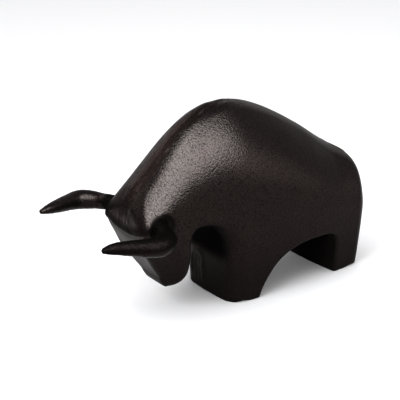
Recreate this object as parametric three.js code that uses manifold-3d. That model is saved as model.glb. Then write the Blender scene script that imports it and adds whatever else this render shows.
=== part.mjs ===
// A bull in cast iron, standing with its head down and thrust forward.
// It is one casting: the legs of each pair are fused into one block, and the horns grow out of the head.
// Millimetres, +Z up, the muzzle towards -Y and the bull's left side towards +X.
// The origin is in the middle of the overall box, on the ground.
import * as THREE from "three";
import Module from "manifold-3d";

// Side profile, as distances along the body (y) and above the ground (z)
const FRONT_FACE_Y = -9;
const FRONT_HEEL_Y = 19;
const REAR_TOE_Y = 92;
const RUMP_Y = 128;
const RUMP_FOOT_Y = 125.5;
const RUMP_TOP_Z = 74;
const BELLY_Y = 70;
const BELLY_Z = 34.5;
const BELLY_REAR_Z = 25;
const THROAT_Y = -33;
const THROAT_Z = 66;
const JAW_Y = -41;
const JAW_Z = 38;
const MUZZLE_Y = -53;
const MUZZLE_Z = 20.5;
const FACE_LOW_Y = -60.3;
const FACE_LOW_Z = 30;
const POLL_Y = -80;
const POLL_Z = 66.3;
const NAPE_Y = -75;

// Cross-sections from the poll to the rump: the height of the back line, the half width of the flat band
// along it, the half width of the flank, the depth over which the side swells out to the flank,
// and the radius of the edge between band and side
const STATIONS = [
  { y: -90, top: 81, band: 6, flank: 30.5, depth: 25, edge: 5 },
  { y: -80, top: 92.4, band: 7, flank: 30.5, depth: 26, edge: 5 },
  { y: -60, top: 112.6, band: 8.5, flank: 29, depth: 36, edge: 5 },
  { y: -40, top: 132.2, band: 7.5, flank: 30, depth: 48, edge: 5 },
  { y: -20, top: 145, band: 7, flank: 32.5, depth: 57, edge: 5 },
  { y: 0, top: 150.2, band: 5.5, flank: 35, depth: 64, edge: 6 },
  { y: 20, top: 147.8, band: 4, flank: 36, depth: 66, edge: 6 },
  { y: 45, top: 138.6, band: 3, flank: 36.5, depth: 66, edge: 6 },
  { y: 75, top: 121.8, band: 3, flank: 36, depth: 60, edge: 6 },
  { y: 100, top: 104.8, band: 6, flank: 34.5, depth: 52, edge: 7 },
  { y: 116, top: 93.6, band: 13, flank: 33.5, depth: 44, edge: 7 },
  { y: 130, top: 86, band: 17, flank: 32.5, depth: 40, edge: 8 },
];
const SWELL = 2;
const FOOT_NARROWING = 3.5;
const FOOT_NARROWING_Z = 60;

// How far the front and the rump recede towards the sides; the forehead comes forward there instead
const BOW = 2;
const HEAD_BOW = -1.2;
const BOW_HALF = 32;

// Radius of the edge between the profile and the sides below the flank, along the body
const LOWER_EDGES = [
  { y: -62, edge: 4 },
  { y: -48, edge: 5 },
  { y: -36, edge: 5 },
  { y: -22, edge: 8 },
  { y: -10, edge: 11 },
  { y: 3, edge: 11 },
  { y: 13, edge: 2.5 },
  { y: 100, edge: 2.5 },
  { y: 114, edge: 9 },
];
const LOWER_EDGE_Z = 55;
const UPPER_EDGE_Z = 80;

// Head: a wedge, narrow along the muzzle and as wide as the neck at the jaw
const MUZZLE_HALF = 14;
const POLL_HALF = 30.5;
const POLL_HALF_Z = 75;
const FACE_FLARE = 1.6;
const CHEEK_SPREAD = 0.6;
const CHEEK_BLEND = 6;

// How much higher the front edge of the poll is at the horns than in the middle
const RIDGE_LIFT = 8;
const RIDGE_HALF = 30;

// Horns: the centre line of the left one from inside the head to the tip, with its radius
const HORN = [
  { x: 18, y: -66, z: 78, r: 6 },
  { x: 32, y: -71, z: 76.8, r: 5.6 },
  { x: 44, y: -74, z: 75.2, r: 5.9 },
  { x: 52.6, y: -82.7, z: 75.9, r: 7 },
  { x: 53.5, y: -92.3, z: 76.2, r: 6.4 },
  { x: 45.2, y: -113.5, z: 78.2, r: 4.2 },
  { x: 43.1, y: -122.7, z: 78.2, r: 2 },
];
const HORN_SEGMENTS = 30;
const HORN_BLEND = 3.5;

// Hollow round each horn's root
const HOLLOW = { x: 36, y: -68, z: 75.5, r: 13 };
const HOLLOW_BLEND = 1;

// Surface mesh
const GRID = 2;
const CURVE_STEPS = 10;
const GROUND_CUT = 6;
const TRIANGLES = 9400;
const SOLE_TOLERANCE = 0.05;

const clamp = (v, low, high) => Math.min(high, Math.max(low, v));
const mix = (a, b, t) => a + (b - a) * t;
const smooth = (low, high, v) => {
  const t = clamp((v - low) / (high - low), 0, 1);
  return t * t * (3 - 2 * t);
};

// The smaller of two values, with the step between them rounded off over the width k.
function softMin(a, b, k) {
  const h = Math.max(k - Math.abs(a - b), 0) / k;
  return Math.min(a, b) - (h * h * k) / 4;
}

function softMax(a, b, k) {
  return -softMin(-a, -b, k);
}

// A row of a table at the place y, each value on a smooth curve through the rows.
function rowAt(table, keys, y) {
  const last = table.length - 1;
  let i = 0;
  while (i < last - 1 && y > table[i + 1].y) i++;
  const a = table[i];
  const b = table[i + 1];
  const span = b.y - a.y;
  const t = clamp((y - a.y) / span, 0, 1);
  const row = {};
  for (const key of keys) {
    const before = table[Math.max(i - 1, 0)];
    const after = table[Math.min(i + 2, last)];
    const slopeA = (b[key] - before[key]) / (b.y - before.y || 1);
    const slopeB = (after[key] - a[key]) / (after.y - a.y || 1);
    const t2 = t * t;
    const t3 = t2 * t;
    row[key] =
      (2 * t3 - 3 * t2 + 1) * a[key] +
      (t3 - 2 * t2 + t) * slopeA * span +
      (3 * t2 - 2 * t3) * b[key] +
      (t3 - t2) * slopeB * span;
  }
  return row;
}

// The side profile as a closed shape in the y and z plane, its feet reaching below the ground.
function profileShape() {
  const shape = new THREE.Shape();
  shape.moveTo(FRONT_FACE_Y, -GROUND_CUT);
  shape.lineTo(FRONT_FACE_Y, 38);
  shape.bezierCurveTo(FRONT_FACE_Y, 54, -19, THROAT_Z, THROAT_Y, THROAT_Z);
  shape.bezierCurveTo(-38.5, THROAT_Z, JAW_Y, 62, JAW_Y, 54);
  shape.lineTo(JAW_Y, JAW_Z);
  shape.bezierCurveTo(JAW_Y, 27, -44.5, MUZZLE_Z, MUZZLE_Y, MUZZLE_Z);
  shape.bezierCurveTo(-55.5, MUZZLE_Z, -58, 24, FACE_LOW_Y, FACE_LOW_Z);
  shape.bezierCurveTo(-67, 40, -78.5, 55.5, POLL_Y, POLL_Z);
  const backLine = (y) => rowAt(STATIONS, ["top"], y).top;
  shape.bezierCurveTo(-82.8, 69.5, -83, 85.5, NAPE_Y, backLine(NAPE_Y));
  const back = [];
  for (let y = -68; y <= 108; y += 8) back.push(new THREE.Vector2(y, backLine(y)));
  shape.splineThru(back);
  shape.bezierCurveTo(121, 92, 128, 89, 128.2, RUMP_TOP_Z);
  shape.bezierCurveTo(128.6, 55, RUMP_Y, 40, RUMP_FOOT_Y, 0);
  shape.lineTo(RUMP_FOOT_Y, -GROUND_CUT);
  shape.lineTo(REAR_TOE_Y + 0.6, -GROUND_CUT);
  shape.lineTo(REAR_TOE_Y, BELLY_REAR_Z);
  shape.bezierCurveTo(REAR_TOE_Y - 1, 35, 84, BELLY_Z, BELLY_Y, BELLY_Z);
  shape.bezierCurveTo(52, BELLY_Z, 38, 30, 30, 20);
  shape.bezierCurveTo(24, 12, FRONT_HEEL_Y + 1, 6, FRONT_HEEL_Y, -GROUND_CUT);
  return shape.getPoints(CURVE_STEPS);
}

const OUTLINE = profileShape();

// Signed distance to the outline in the y and z plane, below zero inside.
function outlineDistance(y, z) {
  let best = Infinity;
  let inside = false;
  for (let i = 0, j = OUTLINE.length - 1; i < OUTLINE.length; j = i++) {
    const a = OUTLINE[j];
    const b = OUTLINE[i];
    const ey = b.x - a.x;
    const ez = b.y - a.y;
    const wy = y - a.x;
    const wz = z - a.y;
    const length2 = ey * ey + ez * ez;
    const t = length2 > 0 ? clamp((wy * ey + wz * ez) / length2, 0, 1) : 0;
    const dy = wy - ey * t;
    const dz = wz - ez * t;
    best = Math.min(best, dy * dy + dz * dz);
    if (a.y > z !== b.y > z && y < a.x + (ey * (z - a.y)) / ez) inside = !inside;
  }
  return (inside ? -1 : 1) * Math.sqrt(best);
}

// Half the thickness of the casting at one place of the side profile.
function halfWidth(y, z) {
  const row = rowAt(STATIONS, ["top", "band", "flank", "depth"], y);
  const t = clamp((row.top - z) / row.depth, 0, 1);
  let width = row.band + (row.flank - row.band) * (1 - (1 - t) ** SWELL);
  const low = clamp(1 - z / FOOT_NARROWING_Z, 0, 1);
  width -= FOOT_NARROWING * low * low;
  const rise = clamp((z - MUZZLE_Z) / (POLL_HALF_Z - MUZZLE_Z), 0, 2);
  const faceY = mix(MUZZLE_Y, POLL_Y, rise);
  const face = mix(MUZZLE_HALF, POLL_HALF, rise ** FACE_FLARE);
  const cheek = face + CHEEK_SPREAD * Math.max(y - faceY, 0);
  return softMin(width, cheek, CHEEK_BLEND);
}

function edgeRadius(y, z) {
  const upper = rowAt(STATIONS, ["edge"], y).edge;
  const lower = rowAt(LOWER_EDGES, ["edge"], y).edge;
  return clamp(mix(lower, upper, smooth(LOWER_EDGE_Z, UPPER_EDGE_Z, z)), 1.5, 12);
}

// The left horn's centre line, with the radius carried along as a fourth value.
function hornLine() {
  const centre = new THREE.CatmullRomCurve3(HORN.map((p) => new THREE.Vector3(p.x, p.y, p.z)));
  const radius = new THREE.SplineCurve(HORN.map((p, i) => new THREE.Vector2(i, p.r)));
  const line = [];
  for (let i = 0; i <= HORN_SEGMENTS; i++) {
    const t = i / HORN_SEGMENTS;
    line.push({ p: centre.getPoint(t), r: radius.getPoint(t).y });
  }
  return line;
}

const HORN_LINE = hornLine();

function hornDistance(x, y, z) {
  let best = Infinity;
  for (let i = 1; i < HORN_LINE.length; i++) {
    const a = HORN_LINE[i - 1];
    const b = HORN_LINE[i];
    const ex = b.p.x - a.p.x;
    const ey = b.p.y - a.p.y;
    const ez = b.p.z - a.p.z;
    const wx = x - a.p.x;
    const wy = y - a.p.y;
    const wz = z - a.p.z;
    const t = clamp((wx * ex + wy * ey + wz * ez) / (ex * ex + ey * ey + ez * ez), 0, 1);
    const d = Math.hypot(wx - ex * t, wy - ey * t, wz - ez * t) - mix(a.r, b.r, t);
    best = Math.min(best, d);
  }
  return best;
}

// Body, neck and head: the profile and the two sides, met in a rounded edge.
function bodyDistance(x, y, z) {
  const side = Math.abs(x);
  const width = halfWidth(y, z);
  const step = 0.5;
  const slopeY = (halfWidth(y + step, z) - halfWidth(y - step, z)) / (2 * step);
  const slopeZ = (halfWidth(y, z + step) - halfWidth(y, z - step)) / (2 * step);
  const h = (side - width) / Math.hypot(1, slopeY, slopeZ);
  const front = smooth(-64, -76, y) * smooth(48, 62, z);
  const lift = RIDGE_LIFT * clamp(side / RIDGE_HALF, 0, 1.1) ** 2 * front;
  const bow = mix(HEAD_BOW, BOW, smooth(-72, -45, y));
  const p = outlineDistance(y, z - lift) + bow * (side / BOW_HALF) ** 2;
  const r = edgeRadius(y, z);
  const a = p + r;
  const b = h + r;
  return Math.min(Math.max(a, b), 0) + Math.hypot(Math.max(a, 0), Math.max(b, 0)) - r;
}

function bullDistance(x, y, z) {
  const side = Math.abs(x);
  const hollow = Math.hypot(side - HOLLOW.x, y - HOLLOW.y, z - HOLLOW.z) - HOLLOW.r;
  const hollowed = softMax(bodyDistance(x, y, z), -hollow, HOLLOW_BLEND);
  return softMin(hollowed, hornDistance(side, y, z), HORN_BLEND);
}

// The zero surface of a signed distance as one closed mesh of quads, a vertex in each cell that it crosses.
function surfaceMesh(distance, low, high, step) {
  const n = [0, 1, 2].map((a) => Math.ceil((high[a] - low[a]) / step) + 1);
  const at = (i, j, k) => (k * n[1] + j) * n[0] + i;
  const place = (i, j, k) => [low[0] + i * step, low[1] + j * step, low[2] + k * step];
  const value = new Float64Array(n[0] * n[1] * n[2]);
  for (let k = 0; k < n[2]; k++)
    for (let j = 0; j < n[1]; j++)
      for (let i = 0; i < n[0]; i++) value[at(i, j, k)] = distance(...place(i, j, k));
  const corner = [];
  for (let c = 0; c < 8; c++) corner.push([c & 1, (c >> 1) & 1, (c >> 2) & 1]);
  const vertexOf = new Int32Array(value.length).fill(-1);
  const vertices = [];
  for (let k = 0; k < n[2] - 1; k++)
    for (let j = 0; j < n[1] - 1; j++)
      for (let i = 0; i < n[0] - 1; i++) {
        const sum = [0, 0, 0];
        let count = 0;
        for (let c = 0; c < 8; c++)
          for (let axis = 0; axis < 3; axis++) {
            if (corner[c][axis]) continue;
            const a = corner[c];
            const b = [...a];
            b[axis] = 1;
            const va = value[at(i + a[0], j + a[1], k + a[2])];
            const vb = value[at(i + b[0], j + b[1], k + b[2])];
            if (va < 0 === vb < 0) continue;
            const t = va / (va - vb);
            for (let m = 0; m < 3; m++) sum[m] += a[m] + (m === axis ? t : 0);
            count++;
          }
        if (!count) continue;
        vertexOf[at(i, j, k)] = vertices.length;
        const from = place(i, j, k);
        vertices.push(sum.map((s, m) => from[m] + (s / count) * step));
      }
  const triangles = [];
  for (let k = 1; k < n[2] - 1; k++)
    for (let j = 1; j < n[1] - 1; j++)
      for (let i = 1; i < n[0] - 1; i++)
        for (let axis = 0; axis < 3; axis++) {
          const here = value[at(i, j, k)] < 0;
          const step1 = [0, 0, 0];
          step1[axis] = 1;
          const there = value[at(i + step1[0], j + step1[1], k + step1[2])] < 0;
          if (here === there) continue;
          const u = (axis + 1) % 3;
          const v = (axis + 2) % 3;
          const quad = [
            [0, 0],
            [1, 0],
            [1, 1],
            [0, 1],
          ].map(([du, dv]) => {
            const cell = [i, j, k];
            cell[u] -= du;
            cell[v] -= dv;
            return vertexOf[at(...cell)];
          });
          if (!here) quad.reverse();
          triangles.push([quad[0], quad[1], quad[2]], [quad[0], quad[2], quad[3]]);
        }
  return { vertices, triangles };
}

// Moves each vertex along the slope of the distance onto the zero surface.
function settle(distance, vertices) {
  const e = 0.05;
  for (const v of vertices)
    for (let turn = 0; turn < 3; turn++) {
      const d = distance(...v);
      const g = [0, 1, 2].map((a) => {
        const w = [...v];
        w[a] += e;
        return (distance(...w) - d) / e;
      });
      const g2 = g[0] * g[0] + g[1] * g[1] + g[2] * g[2];
      if (g2 < 0.05) break;
      const move = clamp(d / g2, -0.8, 0.8);
      for (let a = 0; a < 3; a++) v[a] -= g[a] * move;
    }
}

// A queue that gives back the entry with the lowest cost first.
class CostQueue {
  items = [];
  push(item) {
    const q = this.items;
    let i = q.push(item) - 1;
    while (i > 0) {
      const up = (i - 1) >> 1;
      if (q[up].cost <= q[i].cost) break;
      [q[up], q[i]] = [q[i], q[up]];
      i = up;
    }
  }
  pop() {
    const q = this.items;
    const top = q[0];
    const end = q.pop();
    if (!q.length) return top;
    q[0] = end;
    let i = 0;
    for (;;) {
      let least = i;
      for (const child of [2 * i + 1, 2 * i + 2])
        if (child < q.length && q[child].cost < q[least].cost) least = child;
      if (least === i) break;
      [q[least], q[i]] = [q[i], q[least]];
      i = least;
    }
    return top;
  }
}

const minus = (a, b) => [a[0] - b[0], a[1] - b[1], a[2] - b[2]];
const dot = (a, b) => a[0] * b[0] + a[1] * b[1] + a[2] * b[2];
const cross = (a, b) => [
  a[1] * b[2] - a[2] * b[1],
  a[2] * b[0] - a[0] * b[2],
  a[0] * b[1] - a[1] * b[0],
];

// Joins neighbouring vertices, those that change the surface least first, until few enough triangles are left.
function thinOut({ vertices, triangles }, target) {
  const faces = triangles.map((t) => [...t]);
  const around = vertices.map(() => new Set());
  const quadric = vertices.map(() => new Float64Array(10));
  const stamp = new Int32Array(vertices.length);
  faces.forEach((f, id) => {
    const [a, b, c] = f.map((v) => vertices[v]);
    const normal = cross(minus(b, a), minus(c, a));
    const area = Math.hypot(...normal) / 2 || 1e-9;
    const [x, y, z] = normal.map((m) => m / (2 * area));
    const w = -(x * a[0] + y * a[1] + z * a[2]);
    const terms = [x * x, x * y, x * z, x * w, y * y, y * z, y * w, z * z, z * w, w * w];
    for (const v of f) {
      around[v].add(id);
      for (let m = 0; m < 10; m++) quadric[v][m] += terms[m] * area;
    }
  });
  const error = (q, p) => {
    const [x, y, z] = p;
    return (
      q[0] * x * x + 2 * q[1] * x * y + 2 * q[2] * x * z + 2 * q[3] * x +
      q[4] * y * y + 2 * q[5] * y * z + 2 * q[6] * y +
      q[7] * z * z + 2 * q[8] * z + q[9]
    );
  };
  const best = (q, a, b) => {
    const A = new THREE.Matrix3().set(q[0], q[1], q[2], q[1], q[4], q[5], q[2], q[5], q[7]);
    const middle = a.map((v, m) => (v + b[m]) / 2);
    const choices = [a, b, middle];
    if (Math.abs(A.determinant()) > 1e-3) {
      const s = new THREE.Vector3(-q[3], -q[6], -q[8]).applyMatrix3(A.invert());
      const point = [s.x, s.y, s.z];
      if (Math.hypot(...minus(point, middle)) < 2 * Math.hypot(...minus(a, b))) choices.unshift(point);
    }
    let pick = choices[0];
    for (const c of choices) if (error(q, c) < error(q, pick) - 1e-12) pick = c;
    return pick;
  };
  const queue = new CostQueue();
  const offer = (a, b) => {
    const q = quadric[a].map((v, m) => v + quadric[b][m]);
    const point = best(q, vertices[a], vertices[b]);
    const length = Math.hypot(...minus(vertices[a], vertices[b]));
    queue.push({ a, b, point, cost: error(q, point) + 2e-3 * length * length, at: stamp[a] + stamp[b] });
  };
  const neighbours = (v) => {
    const out = new Set();
    for (const id of around[v]) for (const u of faces[id]) if (u !== v) out.add(u);
    return out;
  };
  const turnsOver = (v, other, point) => {
    for (const id of around[v]) {
      const f = faces[id];
      if (f.includes(other)) continue;
      const old = f.map((u) => vertices[u]);
      const next = f.map((u) => (u === v ? point : vertices[u]));
      const before = cross(minus(old[1], old[0]), minus(old[2], old[0]));
      const after = cross(minus(next[1], next[0]), minus(next[2], next[0]));
      const size = Math.hypot(...before) * Math.hypot(...after);
      if (dot(before, after) < 0.3 * size || Math.hypot(...after) < 1e-4) return true;
    }
    return false;
  };
  vertices.forEach((_, v) => {
    for (const u of neighbours(v)) if (u > v) offer(v, u);
  });
  let left = faces.length;
  while (left > target && queue.items.length) {
    const { a, b, point, at } = queue.pop();
    if (!around[a].size || !around[b].size || at !== stamp[a] + stamp[b]) continue;
    const nearA = neighbours(a);
    if (!nearA.has(b)) continue;
    let shared = 0;
    for (const u of neighbours(b)) if (nearA.has(u)) shared++;
    if (shared !== 2 || turnsOver(a, b, point) || turnsOver(b, a, point)) continue;
    vertices[a] = point;
    for (let m = 0; m < 10; m++) quadric[a][m] += quadric[b][m];
    for (const id of around[b]) {
      const f = faces[id];
      if (f.includes(a)) {
        for (const u of f) if (u !== b) around[u].delete(id);
        faces[id] = null;
        left--;
        continue;
      }
      f[f.indexOf(b)] = a;
      around[a].add(id);
    }
    around[b].clear();
    for (const u of [a, ...neighbours(a)]) stamp[u]++;
    for (const u of neighbours(a)) {
      offer(Math.min(a, u), Math.max(a, u));
      for (const w of neighbours(u)) if (w !== a && w > u) offer(u, w);
    }
  }
  return usedOnly(vertices, faces.filter((f) => f));
}

// Drops the vertices that no triangle uses.
function usedOnly(vertices, triangles) {
  const place = new Map();
  for (const v of triangles.flat()) if (!place.has(v)) place.set(v, place.size);
  return {
    vertices: [...place.keys()].map((v) => vertices[v]),
    triangles: triangles.map((t) => t.map((v) => place.get(v))),
  };
}

const wasm = await Module();
wasm.setup();

function solidOf({ vertices, triangles }) {
  return new wasm.Manifold(
    new wasm.Mesh({
      numProp: 3,
      vertProperties: new Float32Array(vertices.flat()),
      triVerts: new Uint32Array(triangles.flat()),
    }),
  );
}

// A box from the ground up, to cut the feet off flat.
function overGround() {
  const size = 400;
  const geometry = new THREE.BoxGeometry(size, size, size);
  geometry.translate(0, 0, size / 2);
  const position = geometry.getAttribute("position");
  const corners = new Map();
  const vertices = [];
  const index = [...geometry.index.array].map((v) => {
    const p = [position.getX(v), position.getY(v), position.getZ(v)];
    const key = p.join();
    if (!corners.has(key)) {
      corners.set(key, vertices.length);
      vertices.push(p);
    }
    return corners.get(key);
  });
  const triangles = [];
  for (let i = 0; i < index.length; i += 3) triangles.push(index.slice(i, i + 3));
  return solidOf({ vertices, triangles });
}

function meshOf(solid) {
  const { numVert, numProp, vertProperties, triVerts } = solid.getMesh();
  const vertices = [];
  for (let v = 0; v < numVert; v++) vertices.push([...vertProperties.slice(v * numProp, v * numProp + 3)]);
  const triangles = [];
  for (let i = 0; i < triVerts.length; i += 3) triangles.push([...triVerts.slice(i, i + 3)]);
  return { vertices, triangles };
}

function bullGeometry() {
  const fine = surfaceMesh(bullDistance, [-66, -132, -GROUND_CUT - 4], [66, 136, 158], GRID);
  settle(bullDistance, fine.vertices);
  const standing = meshOf(solidOf(fine).intersect(overGround()));
  const { vertices, triangles } = thinOut(standing, TRIANGLES);
  for (const v of vertices) if (v[2] < SOLE_TOLERANCE) v[2] = 0;
  const geometry = new THREE.BufferGeometry();
  geometry.setAttribute("position", new THREE.Float32BufferAttribute(vertices.flat(), 3));
  geometry.setIndex(triangles.flat());
  const middle = new THREE.Box3().setFromBufferAttribute(geometry.getAttribute("position"));
  geometry.translate(-(middle.min.x + middle.max.x) / 2, -(middle.min.y + middle.max.y) / 2, 0);
  return geometry;
}

const castIron = new THREE.MeshStandardMaterial({ color: 0x2a2423, roughness: 0.38, metalness: 0.75 });
castIron.name = "cast_iron";

const bull = new THREE.Mesh(bullGeometry(), castIron);
bull.name = "bull";

const sculpture = new THREE.Group();
sculpture.name = "bull_sculpture";
sculpture.add(bull);

export default sculpture;
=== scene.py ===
"""Looks of a cast-iron bull: a finer casting in place of the CAD solid, its iron skin, and a studio.

The form is worked out in millimetres, in a frame whose y runs FRAME_SHIFT ahead of the row frame,
and the finished mesh is in metres in the row frame.
"""

import math

import bpy
import numpy as np
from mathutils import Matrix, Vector


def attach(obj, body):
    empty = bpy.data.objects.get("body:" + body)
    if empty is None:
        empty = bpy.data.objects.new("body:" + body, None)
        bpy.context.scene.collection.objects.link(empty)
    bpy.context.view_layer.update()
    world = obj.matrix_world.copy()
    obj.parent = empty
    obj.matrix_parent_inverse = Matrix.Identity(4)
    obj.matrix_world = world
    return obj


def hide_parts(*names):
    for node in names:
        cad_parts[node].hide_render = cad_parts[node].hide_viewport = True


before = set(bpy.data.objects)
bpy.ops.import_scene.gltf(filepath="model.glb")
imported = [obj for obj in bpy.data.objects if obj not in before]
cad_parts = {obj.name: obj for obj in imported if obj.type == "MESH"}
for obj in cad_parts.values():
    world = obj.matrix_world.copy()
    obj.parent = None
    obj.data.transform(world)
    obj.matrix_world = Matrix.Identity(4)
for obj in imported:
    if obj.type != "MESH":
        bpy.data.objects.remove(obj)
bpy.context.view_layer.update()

MM = 0.001
FRAME_SHIFT = 1.8

# Side profile, as distances along the body (y) and above the ground (z)
FRONT_FACE_Y = -9
FRONT_HEEL_Y = 19
REAR_TOE_Y = 92
REAR_TOE_LEAN = 0.6
RUMP_Y = 128
RUMP_FOOT_Y = 125.5
RUMP_TOP_Y = 128.2
RUMP_TOP_Z = 74
BELLY_Y = 70
BELLY_Z = 34.5
BELLY_REAR_Z = 25
THROAT_Y = -33
THROAT_Z = 66
JAW_Y = -41
JAW_Z = 38
MUZZLE_Y = -53
MUZZLE_Z = 20.5
FACE_LOW_Y = -60.3
FACE_LOW_Z = 30
POLL_Y = -80
POLL_Z = 66.3
NAPE_Y = -75
BACK_END_Y = 108
FRONT_TOP_Z = 38
JAW_TOP_Z = 54
HEEL_TOP = (30, 20)
BELOW_GROUND = -6

# Cross-sections from the poll to the rump, each with the sizes that the keys name
STATION_KEYS = (
    "y",  # place along the body
    "top",  # height of the back line
    "band",  # half width of the flat band along the back
    "flank",  # half width of the flank
    "depth",  # depth below the back line over which the side swells out
    "edge",  # radius of the band's edge
)
STATIONS = np.array(
    [
        (-90, 81, 6, 30.5, 25, 5),
        (-80, 92.4, 7, 30.5, 26, 5),
        (-60, 112.6, 8.5, 29, 36, 5),
        (-40, 132.2, 7.5, 30, 48, 5),
        (-20, 145, 7, 32.5, 57, 5),
        (0, 150.2, 5.5, 35, 64, 6),
        (20, 147.8, 4, 36, 66, 6),
        (45, 138.6, 3, 36.5, 66, 6),
        (75, 121.8, 3, 36, 60, 6),
        (100, 104.8, 6, 34.5, 52, 7),
        (116, 93.6, 13, 33.5, 44, 7),
        (130, 86, 17, 32.5, 40, 8),
    ],
    float,
)
SWELL = 2
FOOT_NARROWING = 3.5
FOOT_NARROWING_Z = 60

# How far the front and the rump recede towards the sides; the forehead comes forward there instead
BOW = 2
HEAD_BOW = -1.2
BOW_HALF = 32
BOW_Y = (-72, -45)

# Radius of the edge between the profile and the sides below the flank: place along the body, radius
LOWER_EDGES = np.array(
    [(-62, 4), (-48, 5), (-36, 5), (-22, 8), (-10, 11), (3, 11), (13, 2.5), (100, 2.5), (114, 9)],
    float,
)
LOWER_EDGE_Z = 55
UPPER_EDGE_Z = 80
SOLE_EDGE = 1.2
EDGE_LIMITS = (1.5, 12)

# Head: a wedge, narrow along the muzzle and as wide as the neck at the jaw
MUZZLE_HALF = 14
POLL_HALF = 30.5
POLL_HALF_Z = 75
FACE_RISE_MOST = 2
FACE_FLARE = 1.6
CHEEK_SPREAD = 0.6
CHEEK_BLEND = 6

# Horns: the left one's centre line from inside the head to the tip, as x, y, z and radius
HORN = np.array(
    [
        (18, -66, 78, 6),
        (32, -71, 76.8, 5.6),
        (44, -74, 75.2, 5.9),
        (52.6, -82.7, 75.9, 7),
        (53.5, -92.3, 76.2, 6.4),
        (45.2, -113.5, 78.2, 4.2),
        (43.1, -122.7, 78.2, 2),
    ],
    float,
)
HORN_SEGMENTS = 30
HORN_BLEND = 3.5

# Round hollow about each horn's root
HOLLOW = (36, -68, 75.5)
HOLLOW_RADIUS = 13
HOLLOW_BLEND = 1

# How much higher the front edge of the poll is at the horns than in the middle
RIDGE_LIFT = 8
RIDGE_HALF = 30
RIDGE_REACH = 1.1
RIDGE_Y = (-64, -76)
RIDGE_Z = (48, 62)

# Arched seam on the front of the forelegs, and a fainter one inside it
SEAM_X = -12.5
SEAM_HALF = 7.5
SEAM_SPRING_Z = 23
SEAM_WIDTH = 2.7
SEAM_GAP = 5
SEAM_HEIGHT = 1.1
INNER_SEAM_WIDTH = SEAM_WIDTH / 1.4
INNER_SEAM_HEIGHT = SEAM_HEIGHT / 2

# Mesh of the casting, and the grid on which its side profile is worked out
VOXEL = 0.93
CELL = 0.5
GRID_LOW = (-100.0, -10.0)
GRID_HIGH = (140, 160)
CURVE_STEPS = 24
BACK_STEPS = 120
SOLE_FLAT = 0.05


def mix(a, b, t):
    return a + (b - a) * t


def smooth(low, high, value):
    """0 at low, 1 at high, level beyond both and a soft step between; low may be the greater value."""
    t = np.clip((value - low) / (high - low), 0, 1)
    return t * t * (3 - 2 * t)


def within(value, start, full, fade, end):
    """1 from full to fade and 0 outside start and end, with soft steps between."""
    return smooth(start, full, value) * smooth(end, fade, value)


def soft_min(a, b, k):
    """The smaller of two values, with the step between them rounded off over the width k."""
    h = np.maximum(k - np.abs(a - b), 0) / k
    return np.minimum(a, b) - h * h * k / 4


def soft_max(a, b, k):
    return -soft_min(-a, -b, k)


def rounded_meeting(a, b, radius):
    """What two distances have in common, with the edge where they meet rounded."""
    a = a + radius
    b = b + radius
    inner = np.minimum(np.maximum(a, b), 0)
    return inner + np.hypot(np.maximum(a, 0), np.maximum(b, 0)) - radius


def row_at(table, column, y):
    """A column of a table at the places y, on a smooth curve through the rows."""
    places = table[:, 0]
    values = table[:, column]
    last = len(places) - 1
    i = np.clip(np.searchsorted(places, y, side="right") - 1, 0, last - 1)
    before = np.maximum(i - 1, 0)
    after = np.minimum(i + 2, last)
    span = places[i + 1] - places[i]
    t = np.clip((y - places[i]) / span, 0, 1)
    slope_a = (values[i + 1] - values[before]) / (places[i + 1] - places[before])
    slope_b = (values[after] - values[i]) / (places[after] - places[i])
    t2 = t * t
    t3 = t2 * t
    rise = (2 * t3 - 3 * t2 + 1) * values[i] + (3 * t2 - 2 * t3) * values[i + 1]
    return rise + ((t3 - 2 * t2 + t) * slope_a + (t3 - t2) * slope_b) * span


def station(key, y):
    return row_at(STATIONS, STATION_KEYS.index(key), y)


def bend(a, b, c, d):
    """Points after a on a curve from a to d, which leaves towards b and comes in from c."""
    t = np.linspace(0, 1, CURVE_STEPS + 1)[1:, None]
    a, b, c, d = (np.array(p, float) for p in (a, b, c, d))
    return a * (1 - t) ** 3 + 3 * b * t * (1 - t) ** 2 + 3 * c * t * t * (1 - t) + d * t**3


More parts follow.
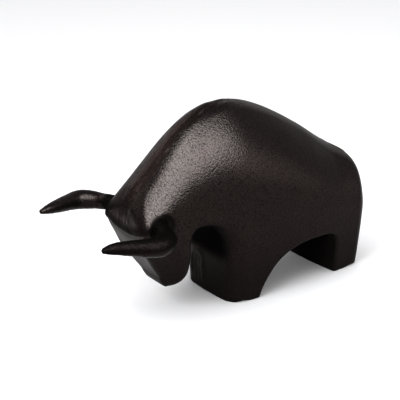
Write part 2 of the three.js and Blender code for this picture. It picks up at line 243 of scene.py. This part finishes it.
def profile():
    """The side profile as a closed line of points in y and z."""
    back_y = np.linspace(NAPE_Y, BACK_END_Y, BACK_STEPS)
    back = np.column_stack([back_y, station("top", back_y)])
    parts = [
        # Front of the forelegs and the throat
        np.array([(FRONT_FACE_Y, BELOW_GROUND), (FRONT_FACE_Y, FRONT_TOP_Z)], float),
        bend((FRONT_FACE_Y, FRONT_TOP_Z), (FRONT_FACE_Y, 54), (-19, THROAT_Z), (THROAT_Y, THROAT_Z)),
        bend((THROAT_Y, THROAT_Z), (-38.5, THROAT_Z), (JAW_Y, 62), (JAW_Y, JAW_TOP_Z)),
        # Jaw, muzzle, face and poll
        bend((JAW_Y, JAW_Z), (JAW_Y, 27), (-44.5, MUZZLE_Z), (MUZZLE_Y, MUZZLE_Z)),
        bend((MUZZLE_Y, MUZZLE_Z), (-55.5, MUZZLE_Z), (-58, 24), (FACE_LOW_Y, FACE_LOW_Z)),
        bend((FACE_LOW_Y, FACE_LOW_Z), (-67, 40), (-78.5, 55.5), (POLL_Y, POLL_Z)),
        bend((POLL_Y, POLL_Z), (-82.8, 69.5), (-83, 85.5), back[0]),
        # Back line and rump
        back[1:],
        bend(back[-1], (121, 92), (128, 89), (RUMP_TOP_Y, RUMP_TOP_Z)),
        bend((RUMP_TOP_Y, RUMP_TOP_Z), (128.6, 55), (RUMP_Y, 40), (RUMP_FOOT_Y, 0)),
        # Rear feet and the arch under the belly
        np.array([(RUMP_FOOT_Y, BELOW_GROUND), (REAR_TOE_Y + REAR_TOE_LEAN, BELOW_GROUND)], float),
        bend((REAR_TOE_Y, BELLY_REAR_Z), (REAR_TOE_Y - 1, 35), (84, BELLY_Z), (BELLY_Y, BELLY_Z)),
        bend((BELLY_Y, BELLY_Z), (52, BELLY_Z), (38, 30), HEEL_TOP),
        bend(HEEL_TOP, (24, 12), (FRONT_HEEL_Y + 1, 6), (FRONT_HEEL_Y, BELOW_GROUND)),
    ]
    return np.concatenate(parts)


def outline_distance(line, y, z, tiny=1e-12):
    """Signed distance to a closed line, below zero inside."""
    best = np.full(y.shape, np.inf)
    inside = np.zeros(y.shape, bool)
    for a, b in zip(line, np.roll(line, -1, axis=0)):
        edge = b - a
        length2 = max(edge @ edge, tiny)
        wy = y - a[0]
        wz = z - a[1]
        t = np.clip((wy * edge[0] + wz * edge[1]) / length2, 0, 1)
        best = np.minimum(best, (wy - edge[0] * t) ** 2 + (wz - edge[1] * t) ** 2)
        if a[1] != b[1]:
            crossing = a[0] + edge[0] * (z - a[1]) / edge[1]
            inside ^= ((a[1] > z) != (b[1] > z)) & (y < crossing)
    return np.where(inside, -1, 1) * np.sqrt(best)


def half_width(y, z):
    """Half the thickness of the casting at places of the side profile."""
    depth = np.clip((station("top", y) - z) / station("depth", y), 0, 1)
    band = station("band", y)
    width = band + (station("flank", y) - band) * (1 - (1 - depth) ** SWELL)
    low = np.clip(1 - z / FOOT_NARROWING_Z, 0, 1)
    width = width - FOOT_NARROWING * low * low
    rise = np.clip((z - MUZZLE_Z) / (POLL_HALF_Z - MUZZLE_Z), 0, FACE_RISE_MOST)
    face_y = mix(MUZZLE_Y, POLL_Y, rise)
    face = mix(MUZZLE_HALF, POLL_HALF, np.maximum(rise, 0) ** FACE_FLARE)
    cheek = face + CHEEK_SPREAD * np.maximum(y - face_y, 0)
    return soft_min(width, cheek, CHEEK_BLEND)


def edge_radius(y, z):
    """Radius of the edge between the profile and the sides."""
    upper = station("edge", y)
    lower = row_at(LOWER_EDGES, 1, y)
    return np.clip(mix(lower, upper, smooth(LOWER_EDGE_Z, UPPER_EDGE_Z, z)), *EDGE_LIMITS)


class Sheet:
    """What the form needs to know of the side profile, worked out once on a fine grid of y and z."""

    # Cells kept free at the grid's far borders, so that a place on them still has a next point
    MARGIN = 1.001

    def __init__(self):
        y = np.arange(GRID_LOW[0], GRID_HIGH[0], CELL)
        z = np.arange(GRID_LOW[1], GRID_HIGH[1], CELL)
        grid_y, grid_z = np.meshgrid(y, z, indexing="ij")
        width = half_width(grid_y, grid_z)
        slope_y, slope_z = np.gradient(width, CELL)
        steepness = np.sqrt(1 + slope_y**2 + slope_z**2)
        outline = outline_distance(profile(), grid_y, grid_z)
        self.layers = np.stack([outline, width, steepness, edge_radius(grid_y, grid_z)], axis=-1)

    def read(self, y, z):
        """The layers at places between the grid's points."""
        u = np.clip((y - GRID_LOW[0]) / CELL, 0, self.layers.shape[0] - self.MARGIN)
        v = np.clip((z - GRID_LOW[1]) / CELL, 0, self.layers.shape[1] - self.MARGIN)
        i = u.astype(int)
        j = v.astype(int)
        s = (u - i)[:, None]
        t = (v - j)[:, None]
        near = self.layers[i, j] * (1 - t) + self.layers[i, j + 1] * t
        far = self.layers[i + 1, j] * (1 - t) + self.layers[i + 1, j + 1] * t
        return (near * (1 - s) + far * s).T


def curve_through(points, count):
    """Count + 1 points on a smooth curve through the given ones, evenly shared out between them."""
    steps = len(points) - 1
    line = []
    for k in range(count + 1):
        place = k / count * steps
        i = min(int(place), steps - 1)
        t = place - i
        b = points[i]
        c = points[i + 1]
        a = points[i - 1] if i > 0 else 2 * b - c
        d = points[i + 2] if i + 2 <= steps else 2 * c - b
        bent = 2 * b + (c - a) * t + (2 * a - 5 * b + 4 * c - d) * t**2 + (3 * b - a - 3 * c + d) * t**3
        line.append(bent / 2)
    return np.array(line)


SHEET = Sheet()
HORN_LINE = curve_through(HORN, HORN_SEGMENTS)


def hollow_distance(side, y, z):
    """Signed distance to the round hollow about the horn's root."""
    away = [side - HOLLOW[0], y - HOLLOW[1], z - HOLLOW[2]]
    return np.sqrt(sum(a * a for a in away)) - HOLLOW_RADIUS


def horn_distance(side, y, z):
    """Signed distance to the horn on either side."""
    best = np.full(side.shape, np.inf)
    point = np.stack([side, y, z])
    for a, b in zip(HORN_LINE[:-1], HORN_LINE[1:]):
        edge = b[:3] - a[:3]
        away = point - a[:3, None]
        t = np.clip((edge @ away) / (edge @ edge), 0, 1)
        away = away - edge[:, None] * t
        best = np.minimum(best, np.sqrt((away**2).sum(0)) - mix(a[3], b[3], t))
    return best


def body_distance(side, y, z):
    """Signed distance to the body with legs and head: profile and sides, met in a rounded edge."""
    rise = np.clip(side / RIDGE_HALF, 0, RIDGE_REACH) ** 2
    lift = RIDGE_LIFT * rise * smooth(*RIDGE_Y, y) * smooth(*RIDGE_Z, z)
    outline = SHEET.read(y, z - lift)[0]
    _, width, steepness, radius = SHEET.read(y, z)
    across = (side - width) / steepness
    bow = mix(HEAD_BOW, BOW, smooth(*BOW_Y, y))
    return rounded_meeting(outline + bow * (side / BOW_HALF) ** 2, across, radius)


def bull_distance(points):
    """Signed distance of points (n by 3) to the casting, in millimetres."""
    side = np.abs(points[:, 0])
    y = points[:, 1]
    z = points[:, 2]
    form = soft_max(body_distance(side, y, z), -hollow_distance(side, y, z), HOLLOW_BLEND)
    form = soft_min(form, horn_distance(side, y, z), HORN_BLEND)
    return rounded_meeting(form, -z, SOLE_EDGE)


def slope_of(points, step=0.1):
    """How the distance grows at points, along x, y and z."""
    slope = np.empty_like(points)
    for axis in range(3):
        ahead = points.copy()
        behind = points.copy()
        ahead[:, axis] += step
        behind[:, axis] -= step
        slope[:, axis] = (bull_distance(ahead) - bull_distance(behind)) / (2 * step)
    return slope


def settle(points, turns=4, reach=1.2, least_steep=0.2):
    """Moves points along the slope of the distance onto the surface."""
    for _ in range(turns):
        slope = slope_of(points)
        steep = np.maximum((slope**2).sum(1), least_steep)
        move = np.clip(bull_distance(points) / steep, -reach, reach)
        points = points - slope * move[:, None]
    return points


class Hills:
    """Smooth random relief, from about -1 to 1, whose hills are about one size wide."""

    LATTICE = 32
    GAIN = 1.9

    def __init__(self, seed):
        draw = np.random.default_rng(seed)
        self.slopes = draw.normal(size=(self.LATTICE,) * 3 + (3,)) / math.sqrt(3)

    def at(self, points, size):
        place = points / size
        cell = np.floor(place).astype(int)
        inner = place - cell
        fade = inner**3 * (inner * (inner * 6 - 15) + 10)
        total = np.zeros(len(points))
        for corner in np.ndindex(2, 2, 2):
            knot = np.mod(cell + corner, self.LATTICE)
            slope = self.slopes[knot[:, 0], knot[:, 1], knot[:, 2]]
            share = np.prod(np.where(corner, fade, 1 - fade), axis=1)
            total += share * (slope * (inner - corner)).sum(1)
        return total * self.GAIN


# Three kinds of hills, each with random slopes of its own
BROAD = Hills(11)
LUMPS = Hills(12)
GRAIN = Hills(13)

# Relief of each place in layers of hills, with their height and width in millimetres
SKIN_HILLS = ((BROAD, 0.22, 34), (BROAD, 0.08, 15), (GRAIN, 0.006, 2.4))
WORKED_HILLS = ((BROAD, 0.45, 12), (LUMPS, 0.15, 5.5), (GRAIN, 0.05, 3))
ROUGH_HILLS = ((LUMPS, 0.12, 4), (GRAIN, 0.1, 2.1))
HORN_HILLS = ((LUMPS, 0.14, 5.5), (LUMPS, 0.14, 2.4))
BROW_LIP = 0.3
SOLE_FADE_Z = (0.1, 4)

# The seam's height changes along it: an even share, and hills as a share with their width
SEAM_EVEN = 0.75
SEAM_UNEVEN = 0.6
SEAM_HILL_WIDTH = 9

# Borders of each place: where it starts and is full and, if it ends again, where it fades and ends
PLACE_EDGE = (1, -0.5)
HORN_SKIN = (3, 0.3)
HORN_START = (26, 33)
HORN_TOP_Z = (73.5, 77)
BAND_LEAST_Z = 70
WORKED_Y = (30, -10)
ROUGH_Y = (-66, -74)
BROW_ABOVE_RIDGE = (-0.4, 0.6, 4, 9)
BROW_Y = (-72, -76)
SEAM_Y = (-14, -12, -8, -6)
SEAM_Z = (4, 12)
THROAT_SIDE = (33, 15)
THROAT_ALONG = (-45, -40, -8, -5)
THROAT_DEEPER_Z = (28, 40)
THROAT_TOP_Z = (76, 70)
ARCH_SIDE = (30, 22)
ARCH_ALONG = (16, 24, 91, 95)
ARCH_TOP_Z = (40, 36)
HOLLOW_SIDE = (40, 34)
LEG_Z = (62, 12)

# Painted shade, laid as a matt near-black skin with weaker sheen: how much each place gets, and how much
# of their brown the horns have all over
THROAT_SHADE = (0.2, 0.9)
SEAM_CLEARS = 1.2
HOLLOW_SHADE = 0.7
LEG_SHADE = 0.3
HORN_TOP_SHADE = 0.55
BROW_SHADE = 0.5
HORN_BROWNED = 0.35

# Worn strokes: how far inside the band's edge, how wide, the hills that break them up, and where they fade
WORN_INSET = 1.5
WORN_WIDTH = 1.4
WORN_STRETCH = (1.6, 0.5, 0.5)
WORN_HILL_WIDTH = 4
WORN_SHARE = (0.2, 0.6)
WORN_Y = (20, 0)


def hills_over(points, layers):
    """The height of some layers of hills together."""
    return sum(height * hills.at(points, width) for hills, height, width in layers)


def seam_height(points):
    """A low double arched seam in the skin on the front of the forelegs."""
    across = points[:, 0] - SEAM_X
    up = np.maximum(points[:, 2] - SEAM_SPRING_Z, 0)
    away = np.hypot(across, up) - SEAM_HALF
    outer = SEAM_HEIGHT * np.exp(-((away / SEAM_WIDTH) ** 2))
    inner = INNER_SEAM_HEIGHT * np.exp(-(((away + SEAM_GAP) / INNER_SEAM_WIDTH) ** 2))
    return (outer + inner) * within(points[:, 1], *SEAM_Y) * smooth(*SEAM_Z, points[:, 2])


def horn_skin(side, y, z):
    """1 on the horns and 0 on the head."""
    return smooth(*HORN_SKIN, horn_distance(side, y, z)) * smooth(*HORN_START, side)


def band_skin(side, y, z):
    """1 on the flat band along the back."""
    return smooth(*PLACE_EDGE, side - station("band", y)) * (z > BAND_LEAST_Z)


def brow_skin(side, y, z):
    """1 on the brow, the strip just above the front edge of the poll."""
    ridge = POLL_Z + RIDGE_LIFT * (side / RIDGE_HALF) ** 2
    return within(z - ridge, *BROW_ABOVE_RIDGE) * smooth(*BROW_Y, y)


def throat_painted_shade(side, y, z, seam):
    """Painted shade in the throat and on the front of the forelegs: darker higher up, and clear on the
    seam.
    """
    matt_and_painted_shade = mix(*THROAT_SHADE, smooth(*THROAT_DEEPER_Z, z)) * smooth(*THROAT_TOP_Z, z)
    clear = np.clip(1 - SEAM_CLEARS * seam / SEAM_HEIGHT, 0, 1)
    return smooth(*THROAT_SIDE, side) * within(y, *THROAT_ALONG) * matt_and_painted_shade * clear


def arch_skin(side, y, z):
    """1 in the arch under the belly."""
    return smooth(*ARCH_SIDE, side) * within(y, *ARCH_ALONG) * smooth(*ARCH_TOP_Z, z)


def hollow_skin(side, y, z):
    """1 in the hollow about the horn's root."""
    return smooth(*PLACE_EDGE, hollow_distance(side, y, z)) * smooth(*HOLLOW_SIDE, side)


def worn_strokes(points, side, y, z):
    """1 on broken strokes along the edges of the band, where the black has been rubbed off."""
    line = np.exp(-(((side - station("band", y) + WORN_INSET) / WORN_WIDTH) ** 2))
    broken = smooth(*WORN_SHARE, LUMPS.at(points * WORN_STRETCH, WORN_HILL_WIDTH))
    return line * broken * smooth(*WORN_Y, y) * (z > BAND_LEAST_Z)


def relief_of(points):
    """Height of the cast skin over the plain form in millimetres, and the masks for its finish and its
    painted shade.
    """
    side = np.abs(points[:, 0])
    y = points[:, 1]
    z = points[:, 2]
    horn = horn_skin(side, y, z)
    head = 1 - horn
    # Painted shade on the top side of the left horn only
    left_horn_top_shade = horn * (points[:, 0] > 0) * smooth(*HORN_TOP_Z, z)
    band = band_skin(side, y, z)
    brow = brow_skin(side, y, z)
    seam = seam_height(points)
    worked = np.maximum(band * smooth(*WORKED_Y, y), brow) * head
    rough = np.maximum(band * smooth(*ROUGH_Y, y), brow) * head
    height = hills_over(points, SKIN_HILLS) + BROW_LIP * brow * head
    height += worked * hills_over(points, WORKED_HILLS)
    height += rough * hills_over(points, ROUGH_HILLS)
    height += horn * hills_over(points, HORN_HILLS)
    height *= smooth(*SOLE_FADE_Z, z)
    height += seam * (SEAM_EVEN + SEAM_UNEVEN * BROAD.at(points, SEAM_HILL_WIDTH))
    # Painted shade: throat, front of the forelegs, arch and hollow made near-black, the legs darker
    # towards the bottom, and the left horn's top and the brow darker
    painted_shade_places = [
        throat_painted_shade(side, y, z, seam),
        arch_skin(side, y, z),
        HOLLOW_SHADE * hollow_skin(side, y, z),
        LEG_SHADE * smooth(*LEG_Z, z),
        HORN_TOP_SHADE * left_horn_top_shade,
        BROW_SHADE * brow * head,
    ]
    masks = {
        "worked": worked,
        # The horns' own darker brown, with painted shade on the left horn's top
        "horn": np.maximum(left_horn_top_shade, HORN_BROWNED * horn),
        "matt_and_painted_shade": np.maximum.reduce(painted_shade_places),
        "worn": worn_strokes(points, side, y, z) * head * (1 - brow),
    }
    return height, masks


def casting(node):
    """The bull's casting as a fine mesh on the form of the CAD solid, with its relief."""
    piece = bpy.data.objects.new("bull_casting", node.data.copy())
    bpy.context.scene.collection.objects.link(piece)
    fine = piece.modifiers.new("fine", "REMESH")
    fine.mode = "VOXEL"
    fine.voxel_size = VOXEL * MM
    bpy.context.view_layer.update()
    mesh = bpy.data.meshes.new_from_object(piece.evaluated_get(bpy.context.evaluated_depsgraph_get()))
    piece.modifiers.clear()
    piece.data = mesh
    flat = np.empty(len(mesh.vertices) * 3)
    mesh.vertices.foreach_get("co", flat)
    points = flat.reshape(-1, 3) / MM
    points[:, 1] += FRAME_SHIFT
    points = settle(points)
    outward = slope_of(points)
    outward /= np.linalg.norm(outward, axis=1)[:, None]
    height, masks = relief_of(points)
    points += outward * height[:, None]
    points[:, 2] = np.where(points[:, 2] < SOLE_FLAT, 0, points[:, 2])
    points[:, 1] -= FRAME_SHIFT
    mesh.vertices.foreach_set("co", (points * MM).ravel())
    for name, mask in masks.items():
        layer = mesh.attributes.new(name, "FLOAT", "POINT")
        layer.data.foreach_set("value", mask.astype(np.float32))
    mesh.polygons.foreach_set("use_smooth", np.ones(len(mesh.polygons), bool))
    mesh.update()
    return piece


def linear(hex_colour):
    """An sRGB hex colour as linear red, green, blue and alpha."""
    channels = []
    for i in (0, 2, 4):
        c = int(hex_colour[i : i + 2], 16) / 255
        channels.append(c / 12.92 if c <= 0.04045 else ((c + 0.055) / 1.055) ** 2.4)
    return (*channels, 1)


def add(tree, kind, inputs=None, **settings):
    """A new node in a tree: its settings, then its inputs, each one a value or another node's output."""
    made = tree.nodes.new(kind)
    for name, value in settings.items():
        setattr(made, name, value)
    for name, value in (inputs or {}).items():
        if isinstance(value, bpy.types.NodeSocket):
            tree.links.new(value, made.inputs[name])
        else:
            made.inputs[name].default_value = value
    return made


def new_material(name):
    material = bpy.data.materials.new(name)
    material.use_nodes = True
    material.node_tree.nodes.clear()
    return material


# Colours of the iron's skin, the white board and the lights
SKIN_DARK = "2e2726"
SKIN_BROWN = "352c2a"
BACK_BROWN = "2f2422"
# Darker brown of the horns, also laid as painted shade on the top of the left horn
HORN_BROWN_AND_SHADE = "1e1412"
WORN_IRON = "524b48"
# Near-black of the painted shade in the recesses, on the lower legs, the brow and the left horn's top
SHADE_BLACK = "0b0a0a"
PORE_BLACK = "201a19"
FULL_SHEEN = "ffffff"
# Weaker sheen of the painted shade, which dims the reflections where the shade is painted
SHADE_SHEEN = "606060"
BOARD_WHITE = "f3f3f4"
PLAIN_WHITE = "ffffff"
COOL_WHITE = "e9fdff"

# Places with a colour of their own, each laid over the ones before; the horns carry painted shade on the
# left one's top, and the last is painted shade
FINISHES_AND_SHADE = (("worked", BACK_BROWN), ("horn", HORN_BROWN_AND_SHADE), ("worn", WORN_IRON), ("matt_and_painted_shade", SHADE_BLACK))

# Patterns of the skin in millimetres; pebbles and pores are those that a coarse sand mould leaves
MOTTLE_SIZE = 22
MOTTLE_DETAIL = 4
MOTTLE_ROUGHNESS = 0.6
PEBBLE_SIZE = 1.35
PEBBLE_HEIGHT = 0.3
PEBBLE_STRENGTH = 0.4
PORE_SIZE = 1.1
PORE_DETAIL = 2
PORE_START = 0.5
PORE_FULL = 0.64

# Roughness and metal of the skin, and the roughness and shine of the board
SKIN_ROUGHNESS = (0.3, 0.36)
HORN_ROUGHNESS = 0.45
DULL_ROUGHNESS = 0.6
IRON_METALLIC = 0.9
BOARD_ROUGHNESS = 0.9
BOARD_SHINE = 0.1

# Sockets of the mix node, by number because its numbers and its colours share their names
SHARE = 0
NUMBER_A = 2
NUMBER_B = 3
COLOUR_A = 6
COLOUR_B = 7
MIXED_NUMBER = 0
MIXED_COLOUR = 2


def iron_colour(tree, place, mottle, masks):
    """Brown-black that changes slowly over the skin, with a colour for each finish and for the painted
    shade, and fine dark pores.
    """
    inputs = {"Vector": place, "Scale": 1 / (PORE_SIZE * MM), "Detail": PORE_DETAIL}
    speckle = add(tree, "ShaderNodeTexNoise", inputs).outputs["Fac"]
    inputs = {"Value": speckle, "From Min": PORE_START, "From Max": PORE_FULL}
    pores = add(tree, "ShaderNodeMapRange", inputs).outputs["Result"]
    finish_and_shade_colours = [(masks[name], colour) for name, colour in FINISHES_AND_SHADE]
    skin = linear(SKIN_DARK)
    for share, colour in [(mottle, SKIN_BROWN), *finish_and_shade_colours, (pores, PORE_BLACK)]:
        inputs = {SHARE: share, COLOUR_A: skin, COLOUR_B: linear(colour)}
        skin = add(tree, "ShaderNodeMix", inputs, data_type="RGBA").outputs[MIXED_COLOUR]
    return skin


def iron_roughness(tree, mottle, masks):
    """Waxed to a soft shine, rougher on the horns and roughest in the places of painted shade."""
    low, high = SKIN_ROUGHNESS
    inputs = {"Value": mottle, "To Min": low, "To Max": high}
    roughness = add(tree, "ShaderNodeMapRange", inputs).outputs["Result"]
    for name, rougher in (("horn", HORN_ROUGHNESS), ("matt_and_painted_shade", DULL_ROUGHNESS)):
        inputs = {SHARE: masks[name], NUMBER_A: roughness, NUMBER_B: rougher}
        roughness = add(tree, "ShaderNodeMix", inputs).outputs[MIXED_NUMBER]
    return roughness


def iron_pebbles(tree, place):
    """Round pebbles close together, the grain that a sand mould leaves on a casting."""
    inputs = {"Vector": place, "Scale": 1 / (PEBBLE_SIZE * MM)}
    pebbles = add(tree, "ShaderNodeTexVoronoi", inputs).outputs["Distance"]
    inputs = {"Height": pebbles, "Strength": PEBBLE_STRENGTH, "Distance": PEBBLE_HEIGHT * MM}
    return add(tree, "ShaderNodeBump", inputs, invert=True).outputs["Normal"]


def waxed_sand_cast_iron():
    """Cast iron from a sand mould, blackened and waxed: dark, a little brown, softly shining and pebbled.

    The flat of the back is a warmer brown and the horns are a darker one. The recesses are painted a matt
    near-black with weaker sheen as painted shade, and the lower legs, the brow and the top of the left
    horn get some of this painted shade. In strokes along the edges of the back it is rubbed down to
    lighter iron.
    """
    material = new_material("waxed_sand_cast_iron")
    tree = material.node_tree
    place = add(tree, "ShaderNodeTexCoord").outputs["Object"]
    scale = 1 / (MOTTLE_SIZE * MM)
    inputs = {"Vector": place, "Scale": scale, "Detail": MOTTLE_DETAIL, "Roughness": MOTTLE_ROUGHNESS}
    mottle = add(tree, "ShaderNodeTexNoise", inputs).outputs["Fac"]
    masks = {}
    for name, _ in FINISHES_AND_SHADE:
        masks[name] = add(tree, "ShaderNodeAttribute", attribute_name=name).outputs["Fac"]
    # Painted shade also dims the sheen at grazing angles in its places
    inputs = {SHARE: masks["matt_and_painted_shade"], COLOUR_A: linear(FULL_SHEEN), COLOUR_B: linear(SHADE_SHEEN)}
    sheen = add(tree, "ShaderNodeMix", inputs, data_type="RGBA").outputs[MIXED_COLOUR]
    inputs = {
        "Base Color": iron_colour(tree, place, mottle, masks),
        "Metallic": IRON_METALLIC,
        "Roughness": iron_roughness(tree, mottle, masks),
        "Specular Tint": sheen,
        "Normal": iron_pebbles(tree, place),
    }
    shader = add(tree, "ShaderNodeBsdfPrincipled", inputs)
    add(tree, "ShaderNodeOutputMaterial", {"Surface": shader.outputs["BSDF"]})
    return material


def matt_white_board():
    """Matt white board: an even pale ground that takes soft shadows."""
    material = new_material("matt_white_board")
    tree = material.node_tree
    inputs = {
        "Base Color": linear(BOARD_WHITE),
        "Roughness": BOARD_ROUGHNESS,
        "Specular IOR Level": BOARD_SHINE,
    }
    shader = add(tree, "ShaderNodeBsdfPrincipled", inputs)
    add(tree, "ShaderNodeOutputMaterial", {"Surface": shader.outputs["BSDF"]})
    return material


# Floor, room and view, with the floor's half width in metres
FLOOR_HALF = 6
ROOM_BRIGHTNESS = 0.7
VIEW_GAMMA = 0.7

# Softboxes: angles in degrees, distance, width and height in metres, radiance, what they light, colour
SOFTBOXES = (
    ("key_softbox", 88, 38, 0.9, 1.0, 0.5, 17, "iron", COOL_WHITE),
    ("front_softbox", 40, 56, 0.9, 0.55, 0.45, 19, "iron", COOL_WHITE),
    ("left_softbox", -60, 36, 0.9, 0.9, 0.6, 2.1, "iron", PLAIN_WHITE),
    ("back_softbox", -150, 30, 0.9, 0.8, 0.4, 0.8, "iron", PLAIN_WHITE),
    ("low_softbox", 130, 12, 0.9, 0.5, 0.35, 2.4, "iron", PLAIN_WHITE),
    ("ground_front_softbox", 15, 35, 0.9, 0.47, 0.47, 6.1, "ground", PLAIN_WHITE),
    ("ground_side_softbox", 70, 12, 0.9, 0.47, 0.47, 6.1, "ground", PLAIN_WHITE),
    ("ground_top_softbox", 0, 90, 2.4, 3.2, 3.2, 1.22, "ground", PLAIN_WHITE),
)
LIGHT_AIM = (0, 0, 0.07)


def floor_piece():
    """The white board that the bull stands on."""
    mesh = bpy.data.meshes.new("studio_floor")
    signs = ((-1, -1), (1, -1), (1, 1), (-1, 1))
    mesh.from_pydata([(x * FLOOR_HALF, y * FLOOR_HALF, 0) for x, y in signs], [], [(0, 1, 2, 3)])
    floor = bpy.data.objects.new("studio_floor", mesh)
    bpy.context.scene.collection.objects.link(floor)
    mesh.materials.append(matt_white_board())
    return floor


def direction(azimuth, elevation):
    """The way from the bull to a place round it, in degrees: azimuth 0 is -Y and 90 is +X."""
    a = math.radians(azimuth)
    e = math.radians(elevation)
    return Vector((math.sin(a) * math.cos(e), -math.cos(a) * math.cos(e), math.sin(e)))


def softbox(name, azimuth, elevation, distance, width, height, radiance, lit, colour):
    """A flat light that faces the bull, equally bright all over, whose light reaches only one group."""
    light = bpy.data.lights.new(name, "AREA")
    light.shape = "RECTANGLE"
    light.size = width
    light.size_y = height
    light.energy = radiance * width * height * math.pi
    light.color = linear(colour)[:3]
    lamp = bpy.data.objects.new(name, light)
    bpy.context.scene.collection.objects.link(lamp)
    back = direction(azimuth, elevation)
    lamp.location = Vector(LIGHT_AIM) + back * distance
    lamp.rotation_mode = "QUATERNION"
    lamp.rotation_quaternion = (-back).to_track_quat("-Z", "Y")
    lamp.light_linking.receiver_collection = lit


def studio(groups):
    """The lights and the room. The iron and the ground each have lights of their own."""
    for name, azimuth, elevation, distance, width, height, radiance, lit, colour in SOFTBOXES:
        softbox(name, azimuth, elevation, distance, width, height, radiance, groups[lit], colour)
    world = bpy.data.worlds.new("studio_room")
    bpy.context.scene.world = world
    world.use_nodes = True
    backdrop = world.node_tree.nodes["Background"]
    backdrop.inputs["Color"].default_value = linear(PLAIN_WHITE)
    backdrop.inputs["Strength"].default_value = ROOM_BRIGHTNESS
    settings = bpy.context.scene.view_settings
    settings.view_transform = "Standard"
    settings.look = "None"
    settings.gamma = VIEW_GAMMA


# Camera: where it looks from, its lens and sensor in millimetres, and the middle of the picture
VIEW_AZIMUTH = 54
VIEW_ELEVATION = 20.7
VIEW_DISTANCE = 0.783
LENS = 90
SENSOR = 36
NEAREST = 0.05
FARTHEST = 20
AIM = (-0.0349, 0.0082, 0.06)


def camera():
    data = bpy.data.cameras.new("camera")
    data.sensor_width = SENSOR
    data.lens = LENS
    made = bpy.data.objects.new("camera", data)
    bpy.context.scene.collection.objects.link(made)
    back = direction(VIEW_AZIMUTH, VIEW_ELEVATION)
    made.location = Vector(AIM) + back * VIEW_DISTANCE
    made.rotation_mode = "QUATERNION"
    made.rotation_quaternion = (-back).to_track_quat("-Z", "Y")
    data.clip_start = NEAREST
    data.clip_end = FARTHEST
    bpy.context.scene.camera = made


def group_of(name, piece):
    """A collection with one piece in it, for lights that reach only that piece."""
    group = bpy.data.collections.new(name)
    group.objects.link(piece)
    return group


camera()
floor = floor_piece()

bull = casting(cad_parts["bull"])
bull.data.materials.clear()
bull.data.materials.append(waxed_sand_cast_iron())
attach(bull, "root")
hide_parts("bull")

studio({"iron": group_of("iron", bull), "ground": group_of("ground", floor)})
